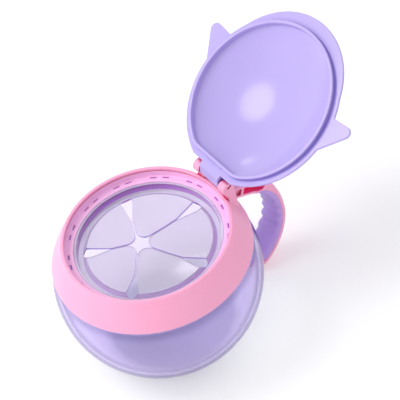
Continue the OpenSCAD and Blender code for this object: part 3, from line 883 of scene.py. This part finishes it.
def make_flap_ring():
    """Flange under the floor, wall, groove and slope, cut by the reliefs, with the keys on top."""
    under = FLOOR_Z - FLOOR_T
    t = FLAP_T
    outline = rounded([
        (SHOULDER_R, under - 0.02, 0.3), (SHOULDER_R, under - t, 0.3), (WALL_R, under - t, 0.5),
        (WALL_R, GROOVE_Z - t, 1.2), (SLOPE_R, GROOVE_Z - t, 0.6), (PETAL_R, PETAL_Z - t, 0.3),
        (PETAL_R, PETAL_Z, 0.5), (SLOPE_R, GROOVE_Z, 0.6), (GROOVE_R, GROOVE_Z, 0.7),
        (GROOVE_R, FLOOR_Z - 0.3, 0.35), (WALL_R, FLOOR_Z - 0.3, 0.3), (WALL_R, under, 0)], 5)
    ring = lathe("flap_skirt", outline)
    for k in range(PETALS):
        hole = slab("hole", relief_outline(k), GROOVE_Z - 2 * t, PETAL_Z + 2 * t, 0.01,
                    lambda x, y, z: (x, y, z), 1)
        combine(ring, hole, "DIFFERENCE")
    combine(ring, slot_boxes("keys", under - 0.3, FLOOR_Z - 0.4, 0.05), "UNION")
    soften(ring, 40)
    put(ring, "collar", "flap_soft", SKIRT, "flap_ring")
    # Painted shade: the keys get the darker violet.
    paint(ring, KEY_SHADE, lambda r, z: r > WALL_R + 0.2 and z > under + 0.05)


# ---------------------------------------------------------------- lid
def inside_flange(x, y):
    """Plan of the lid's flange: round, with a thumb edge in front and a tab on each side."""
    x = abs(x)
    front_r = 0.92 * SHOULDER_R
    if y > FLANGE_BACK and x > EAR_IN - RUN_GAP:
        return False
    if x <= EAR_IN - RUN_GAP and 0 < y < AXIS_Y - 1.7:
        return True
    if x * x + y * y < SHOULDER_R ** 2:
        return True
    if x * x + (y + SHOULDER_R + THUMB_OUT - front_r) ** 2 < front_r ** 2:
        return True
    if math.hypot(x - TAB_TIP[0], y - TAB_TIP[1]) < TAB_R:
        return True
    front = polar((0, 0), SHOULDER_R, -20.5)
    corners = [(0.9 * SHOULDER_R, 0), front, polar(TAB_TIP, TAB_R, -95), polar(TAB_TIP, TAB_R, 25),
               (SHOULDER_R, 1.3)]
    return all((bx - ax) * (y - ay) - (by - ay) * (x - ax) >= 0
               for (ax, ay), (bx, by) in zip(corners, corners[1:] + corners[:1]))


def lid_columns():
    """Angles round the lid, closer together at the hinge."""
    out = []
    a = 0.0
    while a < 360:
        out.append(a)
        a += 0.25 if abs(a - 90) < 18 else 0.6
    return out


def flange_outline(angles):
    """The flange's edge in each direction, found from outside."""
    out = []
    for a in angles:
        c, s = math.cos(math.radians(a)), math.sin(math.radians(a))
        r = 49.0
        while not inside_flange(r * c, r * s):
            r -= 0.2
        lo, hi = r, r + 0.2
        for _ in range(8):
            mid = (lo + hi) / 2
            lo, hi = (mid, hi) if inside_flange(mid * c, mid * s) else (lo, mid)
        out.append((lo * c, lo * s))
    return out


def cut_circle(angles, r, chord, blend_len):
    """A circle cut off by a chord towards +Y, with its corners eased."""
    out = []
    for a in angles:
        c, s = math.cos(math.radians(a)), math.sin(math.radians(a))
        k = r
        if s > 0.05:
            d = chord / s
            h = max(blend_len - abs(r - d), 0.0) / blend_len
            k = min(r, d) - h * h * blend_len / 4
        out.append((k * c, k * s))
    return out


def dome_z(r_ball, x, y):
    """Height of a ball about the dish's centre over a point."""
    return DISH_CZ + math.sqrt(r_ball ** 2 - x * x - y * y)


def grown(outline, d):
    """A round outline, wider by d."""
    return [(x * (1 + d / RIB_R), y * (1 + d / RIB_R)) for x, y in outline]


def lid_shell():
    """Dome, flange, rib and dish as one skin, from the crown round to the middle of the dish."""
    angles = lid_columns()
    edge = flange_outline(angles)
    rib_out = cut_circle(angles, RIB_R, CHORD_Y, 1.2)
    rib_in = cut_circle(angles, RIB_R - RIB_T, CHORD_Y - RIB_T, 1.2)
    dome_r = DISH_BALL + DOME_WALL
    top_z = LID_Z + FLANGE_T
    meet = math.sqrt(dome_r ** 2 - (top_z - DISH_CZ) ** 2)
    dome_foot = cut_circle(angles, meet, DOME_BACK, 1.0)
    low = LID_Z - RIB_H
    rings = 22
    quarter = [math.radians(90 * i / 4) for i in range(5)]
    loops = []

    def level(outline, z):
        loops.append([(x, y, z) for x, y in outline])

    # outer face, from the crown of the dome out to the flange's edge
    loops.append([(0, 0, DISH_CZ + dome_r)])
    for f in [i / rings for i in range(1, rings)] + [0.975]:
        loops.append([(x * f, y * f, max(dome_z(dome_r, x * f, y * f), top_z))
                      for x, y in dome_foot])
    level(dome_foot, top_z + 0.12)
    level([(x * 1.012, y * 1.012) for x, y in dome_foot], top_z)
    ease = 0.6
    shrunk = [shrink(edge, ease * (1 - math.sin(a))) for a in quarter]
    for a, drawn in zip(quarter, shrunk):
        level(drawn, top_z - ease * (1 - math.cos(a)))
    for a, drawn in reversed(list(zip(quarter, shrunk))):
        level(drawn, LID_Z + ease * (1 - math.cos(a)))
    # under the flange, then the rib, drawn in at its foot and with a bead at its edge
    foot, bead, w = -0.25, 0.26, 0.5
    for out, down in ((foot + 0.3, 0), (foot + 0.08, 0.1), (foot, 0.35), (foot, 0.9),
                      ((foot + bead) / 2, 1.25)):
        level(grown(rib_out, out), LID_Z - down)
    for a in reversed(quarter):
        level(grown(rib_out, bead - w * (1 - math.sin(a))), low + w * (1 - math.cos(a)))
    for a in quarter:
        level(grown(rib_in, w * (1 - math.sin(a))), low + w * (1 - math.cos(a)))
    # dish
    lip = dome_z(DISH_BALL, RIB_R - RIB_T, 0)
    level(rib_in, lip - 0.45)
    for f, d in ((0.999, 0.24), (0.994, 0.1), (0.985, 0.02), (0.97, 0.0)):
        loops.append([(x * f, y * f, dome_z(DISH_BALL, x * f, y * f) - d) for x, y in rib_in])
    for i in range(rings - 1, 0, -1):
        f = 0.97 * i / rings
        loops.append([(x * f, y * f, dome_z(DISH_BALL, x * f, y * f)) for x, y in rib_in])
    loops.append([(0, 0, DISH_CZ + DISH_BALL)])
    return skin("lid_shell", loops)


def lid_knuckle():
    """Block between the ears, round about the hinge's axis, with a trunnion at each end."""
    def place(y, z, x):
        return (x, y, z)

    axis = (AXIS_Y, AXIS_Z)
    root_y, root_h = AXIS_Y - 4.8, 3.9
    touch = math.degrees(math.acos(KNUCKLE_R / (AXIS_Z - LID_Z))) - 90
    side = rounded([(root_y, LID_Z + 0.02, 0), (AXIS_Y, LID_Z + 0.02, 1.6)]
                   + arc(axis, KNUCKLE_R, touch, 140, 30) + [(root_y, LID_Z + root_h, 0)], 8)
    knuckle = slab("knuckle", side, -EAR_IN + RUN_GAP, EAR_IN - RUN_GAP, 0.4, place)
    pin = slab("pin", [polar(axis, TRUNNION_R, 12 * i) for i in range(30)],
               -EAR_IN - TRUNNION_LEN, EAR_IN + TRUNNION_LEN, 0.2, place, 2)
    combine(knuckle, pin, "UNION")
    return knuckle


def make_lid():
    """The lid, built as it lies when closed and then turned back about its hinge."""
    lid = lid_shell()
    combine(lid, lid_knuckle(), "UNION")
    hinge = Vector((0, AXIS_Y, AXIS_Z)) * MM
    turn = (Matrix.Translation(hinge) @ Matrix.Rotation(math.radians(-LID_OPEN), 4, "X")
            @ Matrix.Translation(-hinge))
    lid.data.transform(turn)
    soften(lid, 38)
    put(lid, "lid", "lid_lavender", LAVENDER, "lid")


make_cup()
make_collar()
make_handle()
make_grip()
make_flap_ring()
for petal in range(PETALS):
    make_petal(petal)
make_lid()


# ---------------------------------------------------------------- floor, light and camera
def seen_directly(nodes, links, other, seen):
    """A strength of light, and another for what the eye, a reflection or clear plastic shows."""
    path = nodes.new("ShaderNodeLightPath").outputs
    first = larger(nodes, links, path["Is Camera Ray"], path["Is Glossy Ray"])
    shown = larger(nodes, links, first, path["Is Transmission Ray"])
    span = nodes.new("ShaderNodeMapRange")
    span.inputs["To Min"].default_value = other
    span.inputs["To Max"].default_value = seen
    links.new(shown, span.inputs["Value"])
    return span.outputs["Result"]


def make_stage():
    """Pale floor, just under the cup, whose own faint light keeps it near white."""
    half = 3000.0
    floor = make("studio_floor", [(-half, -half, 0), (half, -half, 0), (half, half, 0),
                                  (-half, half, 0)], [(0, 1, 2, 3)])
    floor.location.z = -0.00005
    mat = bpy.data.materials.new("studio_floor")
    mat.use_nodes = True
    nodes, links = mat.node_tree.nodes, mat.node_tree.links
    shader = nodes["Principled BSDF"]
    shader.inputs["Base Color"].default_value = (0.95, 0.95, 0.95, 1)
    shader.inputs["Roughness"].default_value = 0.7
    shader.inputs["Specular IOR Level"].default_value = 0.1
    shader.inputs["Emission Color"].default_value = (1, 1, 1, 1)
    links.new(seen_directly(nodes, links, 0.0, 0.13), shader.inputs["Emission Strength"])
    floor.data.materials.append(mat)


def area_light(name, at, towards, size, power, mirrored=True):
    """A round lamp, in metres and watts, which may stay out of the reflections."""
    data = bpy.data.lights.new(name, "AREA")
    data.shape = "DISK"
    data.size = size
    data.energy = power
    lamp = bpy.data.objects.new(name, data)
    lamp.location = at
    lamp.visible_glossy = mirrored
    lamp.rotation_euler = (Vector(towards) - Vector(at)).to_track_quat("-Z", "Y").to_euler()
    bpy.context.scene.collection.objects.link(lamp)


def make_light():
    """White surroundings and four soft lamps, of which two show as highlights."""
    world = bpy.data.worlds.new("studio")
    world.use_nodes = True
    back = world.node_tree.nodes["Background"]
    back.inputs["Color"].default_value = (1, 1, 1, 1)
    nodes, links = world.node_tree.nodes, world.node_tree.links
    links.new(seen_directly(nodes, links, 0.78, 1.0), back.inputs["Strength"])
    bpy.context.scene.world = world
    area_light("key_light", (-0.37, -0.41, 0.94), (0, 0, 0.05), 0.5, 2.35)
    area_light("broad_light", (-0.45, -0.85, 1.1), (0, 0, 0.04), 1.4, 4.0, mirrored=False)
    area_light("front_light", (-0.35, -1.0, 0.45), (0, 0, 0.04), 0.6, 2.4, mirrored=False)
    area_light("side_light", (-0.95, 0.27, 0.74), (0, 0, 0.06), 0.12, 0.13)


def make_camera():
    """The fitted camera: it sees the ball's centre at pixel (158.4, 272.5) of 400 x 400."""
    elevation, azimuth, roll = (math.radians(a) for a in (49.63, 67.1, -17.25))
    distance, focal, frame_px, sensor = 0.9, 2115.4, 400.0, 36.0
    sight = Vector((158.4, 272.5))
    level = math.cos(elevation)
    back = Vector((math.sin(azimuth) * level, -math.cos(azimuth) * level, math.sin(elevation)))
    right = Vector((math.cos(azimuth), math.sin(azimuth), 0))
    up = back.cross(right)
    axes = Matrix((right, up, back))
    c, s = math.cos(roll), math.sin(roll)
    axes = Matrix(((c, s, 0), (-s, c, 0), (0, 0, 1))) @ axes
    middle = frame_px / 2
    aim = Vector(((sight.x - middle) / focal, -(sight.y - middle) / focal, -1)).normalized()
    axes = Vector((0, 0, -1)).rotation_difference(aim).to_matrix() @ axes
    data = bpy.data.cameras.new("camera")
    data.sensor_fit = "HORIZONTAL"
    data.sensor_width = sensor
    data.lens = focal * sensor / frame_px
    data.clip_start, data.clip_end = 0.05, 20.0
    camera = bpy.data.objects.new("camera", data)
    camera.matrix_world = Matrix.Translation(Vector((0, 0, BALL_Z * MM)) + back * distance) \
        @ axes.transposed().to_4x4()
    bpy.context.scene.collection.objects.link(camera)
    bpy.context.scene.camera = camera


make_stage()
make_light()
make_camera()
bpy.context.scene.view_settings.view_transform = "Standard"
